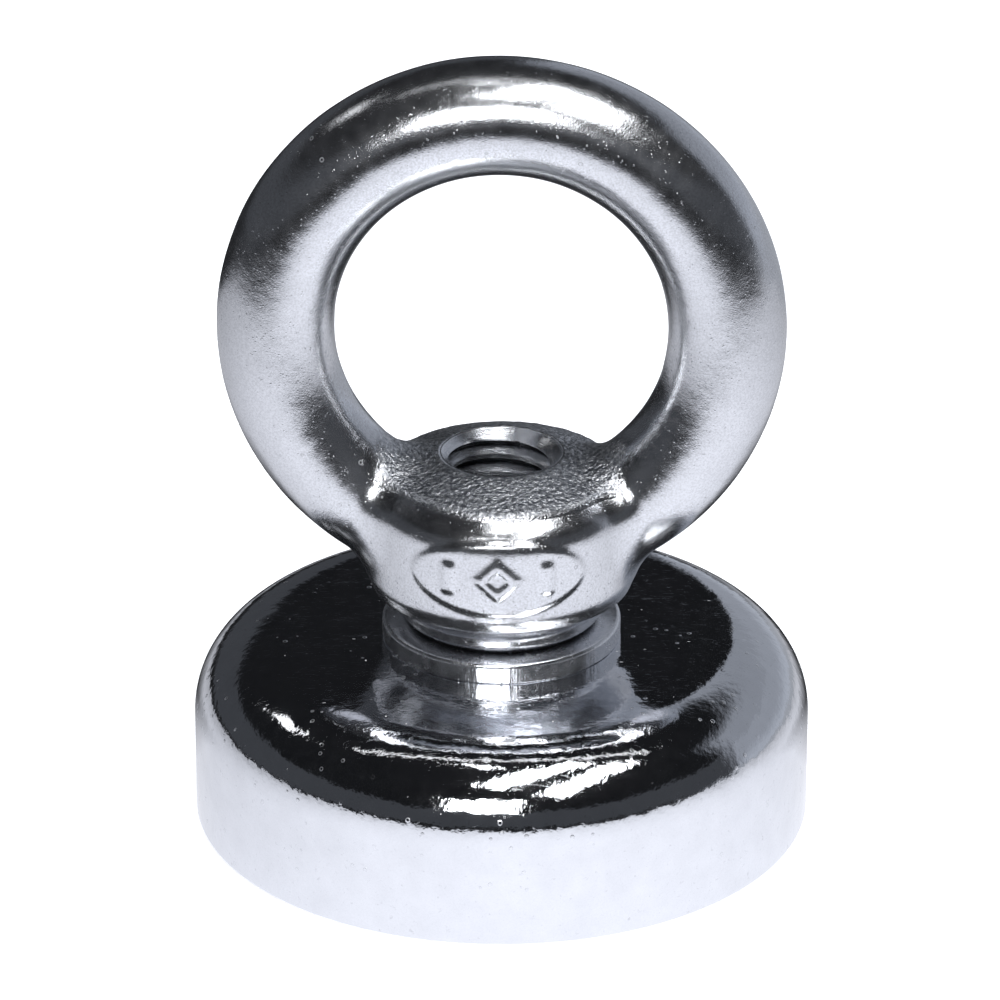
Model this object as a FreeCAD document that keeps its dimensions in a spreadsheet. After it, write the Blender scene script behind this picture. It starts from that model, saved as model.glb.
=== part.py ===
"""Fishing magnet: a potted ring magnet in a steel cup, held to a lifting eye nut by a countersunk screw.

The frame stands on the pulling face: origin at the centre of the magnet's bottom face, +Z up the screw axis,
the eye's opening looking along Y. All sizes are millimetres and live in the sheet "dims".
"""
import FreeCAD, Part
import math
import os
import Sketcher

os.makedirs("parts", exist_ok=True)
doc = FreeCAD.newDocument("fishing_magnet")

# ---------------------------------------------------------------- driving dimensions
sheet = doc.addObject("Spreadsheet::Sheet", "dims")
DIMS = [
    # steel cup
    ("cup_dia", 32.0), ("cup_height", 9.8), ("cup_shoulder", 4.2), ("cup_rim_round", 0.3),
    ("cavity_dia", 26.8), ("floor_thick", 4.0),
    ("screw_clearance", 6.4), ("csk_mouth", 12.46), ("top_bore_chamfer", 0.25),
    # ring magnet and what holds it
    ("magnet_dia", 25.4), ("magnet_bore", 12.6), ("magnet_thick", 5.45), ("magnet_recess", 0.2),
    ("magnet_chamfer", 0.3), ("glue_thick", 0.15), ("potting_recess", 0.3),
    # plain washer
    ("washer_dia", 12.4), ("washer_bore", 6.4), ("washer_thick", 1.1), ("washer_round", 0.2),
    # countersunk screw, M6 x 1
    ("head_dia", 11.8), ("head_land", 0.25), ("hex_across", 4.0), ("hex_depth", 2.2),
    ("screw_tip", 16.0), ("thread_start", 10.45), ("tip_chamfer", 0.8),
    # thread form, shared by the screw and the nut
    ("pitch", 1.0), ("thread_major", 2.92), ("thread_root", 2.36), ("nut_minor", 2.5), ("nut_major", 3.06),
    ("crest_half", 0.0625),
    # eye nut
    ("foot_dia", 10.4), ("foot_tall", 1.0), ("foot_chamfer", 0.4), ("hub_dia", 13.9),
    ("bevel_dia", 13.5), ("bevel_low", 12.95), ("skirt_low", 13.6), ("wall_top", 17.95), ("crown_dia", 11.6), ("crown_low", 19.2),
    ("rim_dia", 6.6), ("rim_high", 20.1), ("mouth_dia", 6.3), ("ring_high", 27.0),
    ("ring_mean", 11.5), ("ring_wire", 3.0),
]
for row, (name, value) in enumerate(DIMS, start=1):
    sheet.set("A%d" % row, name)
    sheet.set("B%d" % row, repr(value))
    sheet.setAlias("B%d" % row, name)
doc.recompute()
d = {name: float(sheet.get(name)) for name, _ in DIMS}
V = FreeCAD.Vector


# ---------------------------------------------------------------- helpers
def plane(body, role):
    return next(f for f in body.Origin.OriginFeatures if getattr(f, "Role", "") == role)


def new_body(label):
    body = doc.addObject("PartDesign::Body", label)
    body.Label = label
    return body


def new_sketch(body, label, role):
    sk = body.newObject("Sketcher::SketchObject", label)
    sk.AttachmentSupport = (plane(body, role), "")
    sk.MapMode = "FlatFace"
    return sk


def profile(sk, points):
    """A closed outline of straight edges. Each corner is (x, y, x expression, y expression)."""
    n = len(points)
    for i in range(n):
        a, b = points[i], points[(i + 1) % n]
        sk.addGeometry(Part.LineSegment(V(a[0], a[1], 0), V(b[0], b[1], 0)), False)
    for i in range(n):
        sk.addConstraint(Sketcher.Constraint("Coincident", i, 2, (i + 1) % n, 1))
    for i, (x, y, ex, ey) in enumerate(points):
        for kind, value, text in (("DistanceX", x, ex), ("DistanceY", y, ey)):
            if abs(value) < 1e-9:
                # a corner on an axis of the sketch
                sk.addConstraint(Sketcher.Constraint("PointOnObject", i, 1, -2 if kind == "DistanceX" else -1))
                continue
            c = sk.addConstraint(Sketcher.Constraint(kind, -1, 1, i, 1, value))
            if text:
                sk.setExpression("Constraints[%d]" % c, text)


def circles(sk, *radii):
    """Circles about the sketch's origin, each (radius, expression)."""
    for i, (r, text) in enumerate(radii):
        sk.addGeometry(Part.Circle(V(0, 0, 0), V(0, 0, 1), r), False)
        sk.addConstraint(Sketcher.Constraint("Coincident", i, 3, -1, 1))
        c = sk.addConstraint(Sketcher.Constraint("Radius", i, r))
        sk.setExpression("Constraints[%d]" % c, text)


def revolve(body, sk):
    rev = body.newObject("PartDesign::Revolution", body.Label + "_turned")
    rev.Profile = sk
    rev.ReferenceAxis = (sk, ["V_Axis"])
    rev.Angle = 360.0
    doc.recompute()
    return rev


def pad(body, sk, length, text):
    p = body.newObject("PartDesign::Pad", body.Label + "_pad")
    p.Profile = sk
    p.Length = length
    p.setExpression("Length", text)
    doc.recompute()
    return p


def edges_at(shape, tests):
    """Names of the full-circle edges at (radius, z) pairs."""
    names = []
    for i, e in enumerate(shape.Edges, start=1):
        curve = e.Curve
        if not isinstance(curve, Part.Circle):
            continue
        for r, z in tests:
            if abs(curve.Radius - r) < 1e-4 and abs(curve.Center.z - z) < 1e-4:
                names.append("Edge%d" % i)
                break
    return names


def rounding(body, base, kind, tests, size, text):
    names = edges_at(base.Shape, tests)
    if len(names) < len(tests):
        raise RuntimeError("%s: found %s for %s" % (body.Label, names, tests))
    f = body.newObject("PartDesign::" + kind, body.Label + "_" + kind.lower() + "_%d" % len(body.Group))
    f.Base = (base, names)
    if kind == "Fillet":
        f.Radius = size
        f.setExpression("Radius", text)
    else:
        f.Size = size
        f.setExpression("Size", text)
    doc.recompute()
    return f


# ---------------------------------------------------------------- steel cup
r_cup, r_cav = d["cup_dia"] / 2, d["cavity_dia"] / 2
z_floor = d["cup_height"] - d["floor_thick"]
r_hole, r_csk = d["screw_clearance"] / 2, d["csk_mouth"] / 2
cup = new_body("pot_cup")
sk = new_sketch(cup, "cup_section", "XZ_Plane")
profile(sk, [
    (r_cav, 0, "dims.cavity_dia / 2", None),
    (r_cup, 0, "dims.cup_dia / 2", None),
    (r_cup, d["cup_height"], "dims.cup_dia / 2", "dims.cup_height"),
    (r_hole, d["cup_height"], "dims.screw_clearance / 2", "dims.cup_height"),
    (r_hole, z_floor + (r_csk - r_hole), "dims.screw_clearance / 2",
     "dims.cup_height - dims.floor_thick + (dims.csk_mouth - dims.screw_clearance) / 2"),
    (r_csk, z_floor, "dims.csk_mouth / 2", "dims.cup_height - dims.floor_thick"),
    (r_cav, z_floor, "dims.cavity_dia / 2", "dims.cup_height - dims.floor_thick"),
])
f = revolve(cup, sk)
f = rounding(cup, f, "Fillet", [(r_cup, d["cup_height"])], d["cup_shoulder"], "dims.cup_shoulder")
f = rounding(cup, f, "Fillet", [(r_cup, 0)], d["cup_rim_round"], "dims.cup_rim_round")
f = rounding(cup, f, "Chamfer", [(r_hole, d["cup_height"])], d["top_bore_chamfer"], "dims.top_bore_chamfer")

# ---------------------------------------------------------------- ring magnet, its glue film and its potting
magnet = new_body("ring_magnet")
sk = new_sketch(magnet, "magnet_section", "XY_Plane")
circles(sk, (d["magnet_dia"] / 2, "dims.magnet_dia / 2"), (d["magnet_bore"] / 2, "dims.magnet_bore / 2"))
f = pad(magnet, sk, d["magnet_thick"], "dims.magnet_thick")
f = rounding(magnet, f, "Chamfer",
             [(d["magnet_dia"] / 2, 0), (d["magnet_bore"] / 2, 0),
              (d["magnet_dia"] / 2, d["magnet_thick"]), (d["magnet_bore"] / 2, d["magnet_thick"])],
             d["magnet_chamfer"], "dims.magnet_chamfer")
magnet.Placement.Base.z = d["magnet_recess"]
magnet.setExpression("Placement.Base.z", "dims.magnet_recess")

glue = new_body("magnet_glue_film")
sk = new_sketch(glue, "glue_section", "XY_Plane")
circles(sk, (d["magnet_dia"] / 2 - d["magnet_chamfer"], "dims.magnet_dia / 2 - dims.magnet_chamfer"),
        (d["magnet_bore"] / 2 + d["magnet_chamfer"], "dims.magnet_bore / 2 + dims.magnet_chamfer"))
pad(glue, sk, d["glue_thick"], "dims.glue_thick")
glue.Placement.Base.z = z_floor - d["glue_thick"]
glue.setExpression("Placement.Base.z", "dims.cup_height - dims.floor_thick - dims.glue_thick")

potting = new_body("potting_ring")
sk = new_sketch(potting, "potting_section", "XY_Plane")
circles(sk, (r_cav, "dims.cavity_dia / 2"), (d["magnet_dia"] / 2, "dims.magnet_dia / 2"))
pad(potting, sk, z_floor - d["potting_recess"], "dims.cup_height - dims.floor_thick - dims.potting_recess")
potting.Placement.Base.z = d["potting_recess"]
potting.setExpression("Placement.Base.z", "dims.potting_recess")

# ---------------------------------------------------------------- plain washer
washer = new_body("plain_washer")
sk = new_sketch(washer, "washer_section", "XY_Plane")
circles(sk, (d["washer_dia"] / 2, "dims.washer_dia / 2"), (d["washer_bore"] / 2, "dims.washer_bore / 2"))
f = pad(washer, sk, d["washer_thick"], "dims.washer_thick")
f = rounding(washer, f, "Fillet", [(d["washer_dia"] / 2, d["washer_thick"])], d["washer_round"], "dims.washer_round")
f = rounding(washer, f, "Fillet", [(d["washer_dia"] / 2, 0)], d["washer_round"] * 0.4, "dims.washer_round * 0.4")
washer.Placement.Base.z = d["cup_height"]
washer.setExpression("Placement.Base.z", "dims.cup_height")


# ---------------------------------------------------------------- thread form
TAN30 = "0.57735027"
tan30 = math.tan(math.radians(30))


def ridge_half(r, r_crest):
    """Half the width of a 60 degree ridge at radius r, whose narrow crest is at r_crest."""
    return d["crest_half"] + (r_crest - r) * tan30


def cut_thread(body, label, corners, turns):
    """A right-hand groove about Z, following a section whose corners are (r, z, r expression, z expression)."""
    sk = new_sketch(body, label + "_section", "XZ_Plane")
    profile(sk, corners)
    doc.recompute()
    before = body.Shape.Volume
    h = body.newObject("PartDesign::SubtractiveHelix", label)
    h.Profile = sk
    h.ReferenceAxis = (sk, ["V_Axis"])
    h.Mode = 0
    h.Pitch = d["pitch"]
    h.Height = d["pitch"] * turns
    h.setExpression("Pitch", "dims.pitch")
    h.setExpression("Height", "dims.pitch * %g" % turns)
    doc.recompute()
    print(label, "removed", round(before - h.Shape.Volume, 3))
    return h


# ---------------------------------------------------------------- countersunk socket screw
r_head, r_maj = d["head_dia"] / 2, d["thread_major"]
screw = new_body("countersunk_screw")
sk = new_sketch(screw, "screw_section", "XZ_Plane")
z0 = z_floor + 0.05
Z0 = "dims.cup_height - dims.floor_thick + 0.05"
profile(sk, [
    (0, z0, None, Z0),
    (r_head, z0, "dims.head_dia / 2", Z0),
    (r_head, z0 + d["head_land"], "dims.head_dia / 2", Z0 + " + dims.head_land"),
    (r_maj, z0 + d["head_land"] + (r_head - r_maj), "dims.thread_major",
     Z0 + " + dims.head_land + dims.head_dia / 2 - dims.thread_major"),
    (r_maj, d["screw_tip"] - d["tip_chamfer"], "dims.thread_major", "dims.screw_tip - dims.tip_chamfer"),
    (r_maj - d["tip_chamfer"], d["screw_tip"], "dims.thread_major - dims.tip_chamfer", "dims.screw_tip"),
    (0, d["screw_tip"], None, "dims.screw_tip"),
])
f = revolve(screw, sk)
sk = new_sketch(screw, "hex_socket", "XY_Plane")
r_hex = d["hex_across"] / math.sqrt(3)
for i in range(6):
    a, b = math.radians(60 * i), math.radians(60 * i + 60)
    sk.addGeometry(Part.LineSegment(V(r_hex * math.cos(a), r_hex * math.sin(a), 0),
                                    V(r_hex * math.cos(b), r_hex * math.sin(b), 0)), False)
for i in range(6):
    sk.addConstraint(Sketcher.Constraint("Coincident", i, 2, (i + 1) % 6, 1))
sk.AttachmentOffset.Base.z = z0
sk.setExpression("AttachmentOffset.Base.z", Z0)
before = f.Shape.Volume
pocket = screw.newObject("PartDesign::Pocket", "hex_pocket")
pocket.Profile = sk
pocket.Reversed = True
pocket.Length = d["hex_depth"]
pocket.setExpression("Length", "dims.hex_depth")
doc.recompute()
print("hex pocket removed", round(before - pocket.Shape.Volume, 3))

# the groove starts abruptly inside the washer, above a short plain shank, and runs out past the tip
g_in, g_out = d["thread_root"], d["thread_major"] + 0.07
start = d["thread_start"]
START = "dims.thread_start"
GIN = "dims.pitch / 2 - dims.crest_half - (dims.thread_major - dims.thread_root) * " + TAN30
GOUT = "dims.pitch / 2 - dims.crest_half + 0.07 * " + TAN30
h_in = d["pitch"] / 2 - ridge_half(g_in, d["thread_major"])
h_out = d["pitch"] / 2 - ridge_half(g_out, d["thread_major"])
cut_thread(screw, "screw_thread", [
    (g_in, start - h_in, "dims.thread_root", START + " - (" + GIN + ")"),
    (g_out, start - h_out, "dims.thread_major + 0.07", START + " - (" + GOUT + ")"),
    (g_out, start + h_out, "dims.thread_major + 0.07", START + " + (" + GOUT + ")"),
    (g_in, start + h_in, "dims.thread_root", START + " + (" + GIN + ")"),
], 7)

# ---------------------------------------------------------------- eye nut
z_foot = d["cup_height"] + d["washer_thick"]
r_foot, r_hub, r_crown, r_rim = d["foot_dia"] / 2, d["hub_dia"] / 2, d["crown_dia"] / 2, d["rim_dia"] / 2
hub = new_body("eye_nut")
sk = new_sketch(hub, "hub_section", "XZ_Plane")
ZF = "dims.cup_height + dims.washer_thick"
profile(sk, [
    (0, z_foot, None, ZF),
    (r_foot, z_foot, "dims.foot_dia / 2", ZF),
    (r_foot, z_foot + d["foot_tall"], "dims.foot_dia / 2", ZF + " + dims.foot_tall"),
    (d["bevel_dia"] / 2, d["bevel_low"], "dims.bevel_dia / 2", "dims.bevel_low"),
    (r_hub, d["skirt_low"], "dims.hub_dia / 2", "dims.skirt_low"),
    (r_hub, d["wall_top"], "dims.hub_dia / 2", "dims.wall_top"),
    (r_crown, d["crown_low"], "dims.crown_dia / 2", "dims.crown_low"),
    (r_rim, d["rim_high"], "dims.rim_dia / 2", "dims.rim_high"),
    (0, d["rim_high"], None, "dims.rim_high"),
])
f = revolve(hub, sk)
f = rounding(hub, f, "Chamfer", [(r_foot, z_foot)], d["foot_chamfer"], "dims.foot_chamfer")

ring = hub.newObject("PartDesign::AdditiveTorus", "lifting_ring")
ring.AttachmentSupport = (plane(hub, "XZ_Plane"), "")
ring.MapMode = "FlatFace"
ring.setExpression("Radius1", "dims.ring_mean")
ring.setExpression("Radius2", "dims.ring_wire")
ring.AttachmentOffset = FreeCAD.Placement(V(0, d["ring_high"], 0), FreeCAD.Rotation())
ring.setExpression("AttachmentOffset.Base.y", "dims.ring_high")
doc.recompute()

# the tapping hole, with a countersunk mouth at the top and a small lead-in below
sk = new_sketch(hub, "tapping_section", "XZ_Plane")
n_min, r_mouth, r_entry = d["nut_minor"], d["mouth_dia"] / 2, d["nut_major"] + 0.1
z_top = d["rim_high"] + 2.0
ZT = "dims.rim_high + 2"
profile(sk, [
    (0, z_foot - 0.5, None, ZF + " - 0.5"),
    (r_entry + 0.5, z_foot - 0.5, "dims.nut_major + 0.6", ZF + " - 0.5"),
    (n_min, z_foot + (r_entry - n_min), "dims.nut_minor", ZF + " + dims.nut_major + 0.1 - dims.nut_minor"),
    (n_min, d["rim_high"] - (r_mouth - n_min), "dims.nut_minor", "dims.rim_high - (dims.mouth_dia / 2 - dims.nut_minor)"),
    (r_mouth + 2.0, z_top, "dims.mouth_dia / 2 + 2", ZT),
    (0, z_top, None, ZT),
])
doc.recompute()
before = hub.Shape.Volume
g = hub.newObject("PartDesign::Groove", "tapping_hole")
g.Profile = sk
g.ReferenceAxis = (sk, ["V_Axis"])
g.Angle = 360.0
doc.recompute()
print("tapping hole removed", round(before - g.Shape.Volume, 3))

# the nut's groove is where the screw's ridge runs, half a pitch from the screw's groove
n_in = d["nut_minor"] - 0.06
start = d["thread_start"] - d["pitch"] / 2
START = "dims.thread_start - dims.pitch / 2"
h_in = ridge_half(n_in, d["nut_major"])
NIN = "dims.crest_half + (dims.nut_major - dims.nut_minor + 0.06) * " + TAN30
cut_thread(hub, "nut_thread", [
    (n_in, start - h_in, "dims.nut_minor - 0.06", START + " - (" + NIN + ")"),
    (d["nut_major"], start - d["crest_half"], "dims.nut_major", START + " - dims.crest_half"),
    (d["nut_major"], start + d["crest_half"], "dims.nut_major", START + " + dims.crest_half"),
    (n_in, start + h_in, "dims.nut_minor - 0.06", START + " + (" + NIN + ")"),
], 11)
eye = hub

# ---------------------------------------------------------------- checks and export
for o in doc.Objects:
    bad = [s for s in o.State if s in ("Invalid", "Error")]
    if bad:
        raise RuntimeError("%s is %s" % (o.Label, bad))

NODES = {"pot_cup": cup, "ring_magnet": magnet, "magnet_glue_film": glue, "potting_ring": potting,
         "plain_washer": washer, "countersunk_screw": screw, "eye_nut": eye}
for name, obj in NODES.items():
    shape = obj.Shape
    if shape.isNull() or not shape.isValid() or shape.Volume <= 0:
        raise RuntimeError("%s has no valid shape" % name)
    print(name, "solids", len(shape.Solids), "faces", len(shape.Faces), "volume", round(shape.Volume, 2),
          "z", round(shape.BoundBox.ZMin, 3), round(shape.BoundBox.ZMax, 3))
for name, obj in NODES.items():
    obj.Shape.exportStep(os.path.join("parts", name + ".step"))
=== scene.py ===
import math

import bmesh
import bpy
import numpy as np
from mathutils import Matrix, Vector

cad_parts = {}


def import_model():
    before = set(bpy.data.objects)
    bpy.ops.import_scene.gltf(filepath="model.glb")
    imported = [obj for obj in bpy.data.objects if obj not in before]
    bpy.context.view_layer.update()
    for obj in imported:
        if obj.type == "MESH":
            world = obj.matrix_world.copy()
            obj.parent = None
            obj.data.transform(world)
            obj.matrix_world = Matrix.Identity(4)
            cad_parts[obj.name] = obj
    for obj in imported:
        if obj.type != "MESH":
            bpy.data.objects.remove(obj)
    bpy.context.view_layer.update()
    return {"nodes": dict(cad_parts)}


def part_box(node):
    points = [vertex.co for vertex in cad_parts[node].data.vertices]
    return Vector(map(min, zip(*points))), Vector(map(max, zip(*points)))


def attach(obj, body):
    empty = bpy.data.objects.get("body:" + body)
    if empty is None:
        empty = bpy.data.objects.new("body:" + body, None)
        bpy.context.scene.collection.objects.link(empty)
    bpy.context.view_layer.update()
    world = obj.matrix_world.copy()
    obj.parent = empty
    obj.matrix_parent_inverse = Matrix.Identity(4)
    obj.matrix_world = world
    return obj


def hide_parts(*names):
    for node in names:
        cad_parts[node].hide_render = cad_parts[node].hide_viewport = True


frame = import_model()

MM = 0.001
scene = bpy.context.scene


def mm_box(node):
    low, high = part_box(node)
    return np.array(low) / MM, np.array(high) / MM


# ---------------------------------------------------------------- sizes, in millimetres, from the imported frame
cup_lo, cup_hi = mm_box("pot_cup")
was_lo, was_hi = mm_box("plain_washer")
nut_lo, nut_hi = mm_box("eye_nut")
mag_lo, mag_hi = mm_box("ring_magnet")
pot_lo, pot_hi = mm_box("potting_ring")
scr_lo, scr_hi = mm_box("countersunk_screw")
glu_lo, glu_hi = mm_box("magnet_glue_film")

R_CUP, H_CUP = cup_hi[0], cup_hi[2]
R_CAV, Z_FLOOR = pot_hi[0], pot_hi[2]
R_WAS, Z_WAS0, Z_WAS1 = was_hi[0], was_lo[2], was_hi[2]
R_MAG, Z_MAG0, Z_MAG1 = mag_hi[0], mag_lo[2], mag_hi[2]
Z_FOOT = nut_lo[2]
R_HUB = nut_hi[1]
RING_R, RING_W = round(nut_hi[0] - 3.0, 1), 3.0
RING_Z = round(nut_hi[2] - nut_hi[0], 1)
Z_TIP, Z_HEAD, R_HEAD = scr_hi[2], scr_lo[2], scr_hi[0]
PITCH, THREAD_PHASE = 1.0, 9.95      # a ridge of the screw passes angle 0 at this height


# ---------------------------------------------------------------- camera, at the photograph's angle
ELEV, AZIM, DIST = math.radians(24.58), math.radians(1.7), 0.3142
cam_data = bpy.data.cameras.new("camera")
cam_data.sensor_width = 36.0
cam_data.lens = 220.0
cam_data.clip_start, cam_data.clip_end = 0.01, 20
cam_data.shift_x, cam_data.shift_y = -0.0015, -0.0119
cam = bpy.data.objects.new("camera", cam_data)
scene.collection.objects.link(cam)
aim = Vector((0, 0, 0.018))
back = Vector((math.sin(AZIM) * math.cos(ELEV), -math.cos(AZIM) * math.cos(ELEV), math.sin(ELEV)))
cam.location = aim + back * DIST
cam.rotation_euler = (-back).to_track_quat("-Z", "Y").to_euler()
scene.camera = cam


# ---------------------------------------------------------------- small mesh helpers
def mesh_object(name, verts_mm, faces, merge=0.0):
    me = bpy.data.meshes.new(name)
    me.from_pydata((np.asarray(verts_mm, float) * MM).tolist(), [], [tuple(int(i) for i in f) for f in faces])
    bm = bmesh.new()
    bm.from_mesh(me)
    if merge:
        bmesh.ops.remove_doubles(bm, verts=bm.verts, dist=merge * MM)
    bmesh.ops.recalc_face_normals(bm, faces=bm.faces)
    bm.to_mesh(me)
    bm.free()
    me.polygons.foreach_set("use_smooth", np.ones(len(me.polygons), bool))
    me.update()
    ob = bpy.data.objects.new(name, me)
    scene.collection.objects.link(ob)
    return ob


def sharpen(ob, degrees, keep=None):
    """Edges steeper than this stay crisp."""
    bm = bmesh.new()
    bm.from_mesh(ob.data)
    limit = math.radians(degrees)
    for e in bm.edges:
        if len(e.link_faces) == 2 and e.calc_face_angle(0.0) > limit and (keep is None or keep(e)):
            e.smooth = False
    bm.to_mesh(ob.data)
    bm.free()


def rounded_section(corners, step=6.0, long_step=1.2):
    """A closed section from corners (r, z, radius): arcs at the corners, and a support point just off each arc."""
    n = len(corners)
    arcs = []
    for i in range(n):
        p0, p1, p2 = (np.array(corners[j % n][:2], float) for j in (i - 1, i, i + 1))
        rad = corners[i][2]
        a, b = p0 - p1, p2 - p1
        a, b = a / np.linalg.norm(a), b / np.linalg.norm(b)
        if rad <= 0:
            arcs.append([p1])
            continue
        half = math.acos(max(-1.0, min(1.0, float(a @ b)))) / 2
        cut = rad / math.tan(half)
        centre = p1 + (a + b) / np.linalg.norm(a + b) * rad / math.sin(half)
        s, e = p1 + a * cut - centre, p1 + b * cut - centre
        turn = math.pi - 2 * half
        count = max(3, int(math.ceil(math.degrees(turn) / step)))
        sign = 1.0 if s[0] * e[1] - s[1] * e[0] > 0 else -1.0
        row = []
        for k in range(count + 1):
            t = sign * turn * k / count
            row.append(centre + np.array([s[0] * math.cos(t) - s[1] * math.sin(t), s[0] * math.sin(t) + s[1] * math.cos(t)]))
        arcs.append(row)
    out = []
    for i in range(n):
        out.extend(arcs[i])
        s, e = arcs[i][-1], arcs[(i + 1) % n][0]
        length = float(np.linalg.norm(e - s))
        if length > 0.14:
            pts = [0.035 / length]
            inner = max(1, int(length / long_step))
            pts += [k / inner for k in range(1, inner)]
            pts += [1 - 0.035 / length]
            for t in pts:
                out.append(s + (e - s) * t)
    return np.array(out)


def lathe(name, section, seg, shape=None):
    """Turns a closed section (r, z) round Z. shape(r, z, angle) may move the points."""
    n = len(section)
    ang = np.linspace(0, 2 * np.pi, seg, endpoint=False)
    r = np.repeat(section[:, 0][None], seg, 0)
    z = np.repeat(section[:, 1][None], seg, 0)
    a = np.repeat(ang[:, None], n, 1)
    if shape is not None:
        r, z = shape(r, z, a)
    verts = np.stack([r * np.cos(a), r * np.sin(a), z], -1).reshape(-1, 3)
    j, i = np.meshgrid(np.arange(seg), np.arange(n), indexing="ij")
    j2, i2 = (j + 1) % seg, (i + 1) % n
    faces = np.stack([j * n + i, j2 * n + i, j2 * n + i2, j * n + i2], -1).reshape(-1, 4)
    return mesh_object(name, verts, faces)


def hash3(ix, iy, iz, seed):
    h = (ix.astype(np.int64) * 374761393 + iy.astype(np.int64) * 668265263 + iz.astype(np.int64) * 2147483647 + seed * 974634777)
    h = (h ^ (h >> 13)) * 1274126177
    h = h ^ (h >> 16)
    return (h & 0xFFFFFF).astype(np.float64) / 0xFFFFFF * 2 - 1


def noise3(p, size, seed):
    """Smooth value noise, -1 to 1, with features of this size."""
    q = p / size
    i = np.floor(q).astype(np.int64)
    f = q - i
    f = f * f * f * (f * (f * 6 - 15) + 10)
    out = 0.0
    for dx in (0, 1):
        for dy in (0, 1):
            for dz in (0, 1):
                w = (f[..., 0] if dx else 1 - f[..., 0]) * (f[..., 1] if dy else 1 - f[..., 1]) * (f[..., 2] if dz else 1 - f[..., 2])
                out = out + w * hash3(i[..., 0] + dx, i[..., 1] + dy, i[..., 2] + dz, seed)
    return out


def smooth(x, lo, hi):
    t = np.clip((x - lo) / (hi - lo), 0, 1)
    return t * t * (3 - 2 * t)


# ---------------------------------------------------------------- threads: a spiral grid about Z
def thread_solid(name, radius, knots, z_lo, z_hi, seg):
    """A closed solid whose wall radius is radius(phase, angle, z). knots are the phases, 0 to 1, where the grid has a row."""
    n = len(knots)
    turns = int(math.ceil((z_hi - z_lo) / PITCH)) + 3
    first = math.floor((z_lo - THREAD_PHASE) / PITCH) - 2
    t = np.array([first + k + s for k in range(turns) for s in knots])
    ang = np.linspace(0, 2 * np.pi, seg, endpoint=False)
    A, T = np.meshgrid(ang, t, indexing="ij")
    Z = np.clip(THREAD_PHASE + PITCH * (T + A / (2 * np.pi)), z_lo, z_hi)
    phase = (Z - THREAD_PHASE) / PITCH - A / (2 * np.pi)
    phase = phase - np.floor(phase)
    R = radius(phase, A, Z)
    rows = len(t)
    verts = np.stack([R * np.cos(A), R * np.sin(A), Z], -1).reshape(-1, 3)
    faces = []
    for j in range(seg):
        j2, lift = (j + 1) % seg, n if j == seg - 1 else 0
        for k in range(rows - 1):
            # past the seam the same thread is one turn further along the grid
            a, b = j * rows + k, j * rows + k + 1
            if lift == 0:
                faces.append((a, j2 * rows + k, j2 * rows + k + 1, b))
            elif k + 1 + lift < rows:
                faces.append((a, j2 * rows + k + lift, j2 * rows + k + 1 + lift, b))
    top, bottom = len(verts), len(verts) + 1
    verts = np.vstack([verts, [[0, 0, z_hi], [0, 0, z_lo]]])
    for j in range(seg):
        j2 = (j + 1) % seg
        faces.append((bottom, j * rows, j2 * rows))
        faces.append((top, j * rows + rows - 1, j2 * rows + rows - 1))
    # drop the faces that the clamped ends have squeezed to nothing, after welding equal points
    key = np.round(verts * 1e5).astype(np.int64)
    _, index, back_ = np.unique(key, axis=0, return_index=True, return_inverse=True)
    back_ = back_.ravel()
    clean, seen = [], set()
    for f in faces:
        g = []
        for v in f:
            w = int(back_[v])
            if not g or g[-1] != w:
                g.append(w)
        if len(g) > 1 and g[0] == g[-1]:
            g.pop()
        if len(g) < 3 or len(set(g)) < len(g):
            continue
        k = tuple(sorted(g))
        if k in seen:
            continue
        seen.add(k)
        clean.append(tuple(g))
    return mesh_object(name, verts[index], clean)


TAN30 = math.tan(math.radians(30))


def ridge(phase):
    """Distance along Z from the ridge's middle, as a share of the pitch."""
    return np.minimum(phase, 1 - phase)


# ---------------------------------------------------------------- eye nut, as a distance field
def wedge(pr, pz, n1, c1, n2, c2, rad):
    """Two planes in (r, z) meeting in a corner rounded to rad."""
    a = pr * n1[0] + pz * n1[1] - (c1 - rad)
    b = pr * n2[0] + pz * n2[1] - (c2 - rad)
    det = n1[0] * n2[1] - n1[1] * n2[0]
    cr = ((c1 - rad) * n2[1] - (c2 - rad) * n1[1]) / det
    cz = (n1[0] * (c2 - rad) - n2[0] * (c1 - rad)) / det
    dr, dz = pr - cr, pz - cz
    # beyond the corner along both walls
    t1 = np.array([-n1[1], n1[0]])
    t2 = np.array([-n2[1], n2[0]])
    if t1 @ np.array(n2) < 0:
        t1 = -t1
    if t2 @ np.array(n1) < 0:
        t2 = -t2
    corner = (dr * t1[0] + dz * t1[1] > 0) & (dr * t2[0] + dz * t2[1] > 0)
    return np.where(corner, np.hypot(dr, dz), np.maximum(a, b)) - rad


def round_union(a, b, r):
    u, v = np.maximum(r - a, 0), np.maximum(r - b, 0)
    return np.maximum(r, np.minimum(a, b)) - np.hypot(u, v)


SLOPE = math.atan2(20.1 - 19.2, 5.8 - 3.3)                     # the crown's slope
N_CROWN = (math.sin(SLOPE), math.cos(SLOPE))
C_CROWN = 5.8 * N_CROWN[0] + 19.22 * N_CROWN[1]


def through(p, q):
    """The plane through two points of the section, its normal to the right of p to q."""
    n = np.array([q[1] - p[1], p[0] - q[0]], float)
    n /= np.linalg.norm(n)
    return (n[0], n[1]), float(n @ np.array(p))


N_SHOULDER, C_SHOULDER = through((R_HUB, 17.95), (5.8, 19.22))
N_BEVEL, C_BEVEL = through((6.75, 12.95), (R_HUB, 13.6))
N_SKIRT, C_SKIRT = through((5.2, 11.9), (6.75, 12.95))
N_CHAMF, C_CHAMF = through((4.8, Z_FOOT), (5.2, Z_FOOT + 0.4))
Z_RIM = 20.1


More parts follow.
